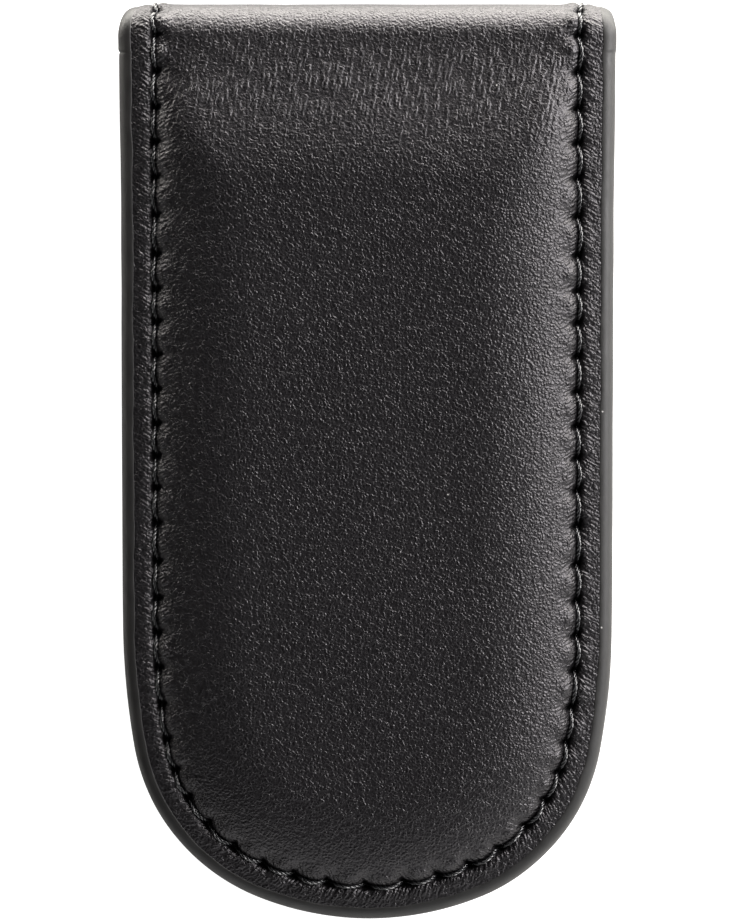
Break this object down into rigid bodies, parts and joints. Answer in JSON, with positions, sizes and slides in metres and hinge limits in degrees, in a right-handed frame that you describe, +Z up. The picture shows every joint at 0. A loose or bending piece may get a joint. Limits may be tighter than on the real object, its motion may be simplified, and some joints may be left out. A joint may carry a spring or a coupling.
{
  "type": "money clip",
  "caption": "Slim folded leather clip for banknotes: two padded, stitched leaves with round ends that hold together by magnets.",
  "frame": {"origin": "on the resting face of the back leaf, under the middle of the closed clip's length and width", "axes": "+X across the width, +Y along the clip towards the fold, +Z up through the two leaves towards the front leaf"},
  "size_m": [0.0384, 0.0712, 0.0092],
  "materials": {
    "cover_leather": "black fine-grained nappa leather, satin",
    "lining_leather": "black smooth lining leather, matt",
    "edge_paint": "dark grey-black edge paint, satin",
    "thread": "black twisted polyester thread",
    "foam": "dark grey closed-cell foam",
    "tray_board": "grey pressed board",
    "stiffener_board": "brown bonded-fibre board",
    "nickel": "bright nickel plating on a sintered magnet",
    "tape": "white woven reinforcing tape"
  },
  "bodies": {
    "back_leaf": {"back_cover": "cover_leather", "back_foam": "foam", "back_tray": "tray_board", "back_magnets": "nickel", "back_board": "stiffener_board", "back_lining": "lining_leather", "back_tape": "tape", "back_edge_paint": "edge_paint", "back_top_thread": "thread", "back_bobbin_thread": "thread"},
    "fold": {"fold_cover": "cover_leather", "fold_tape": "tape", "fold_lining": "lining_leather", "fold_edge_paint": "edge_paint", "fold_top_thread": "thread", "fold_bobbin_thread": "thread"},
    "front_leaf": {"front_cover": "cover_leather", "front_foam": "foam", "front_tray": "tray_board", "front_magnets": "nickel", "front_board": "stiffener_board", "front_lining": "lining_leather", "front_tape": "tape", "front_edge_paint": "edge_paint", "front_top_thread": "thread", "front_bobbin_thread": "thread"}
  },
  "joints": [
    {"name": "fold_lower_bend", "type": "hinge", "parent": "back_leaf", "child": "fold", "pos_m": [0, 0.0348, 0.0029], "axis": [-1, 0, 0], "range_deg": [0, 90]},
    {"name": "fold_upper_bend", "type": "hinge", "parent": "fold", "child": "front_leaf", "pos_m": [0, 0.0348, 0.0063], "axis": [-1, 0, 0], "range_deg": [0, 90]}
  ],
  "couplings": [
    {"joint": "fold_upper_bend", "follows": "fold_lower_bend", "ratio": 1}
  ]
}
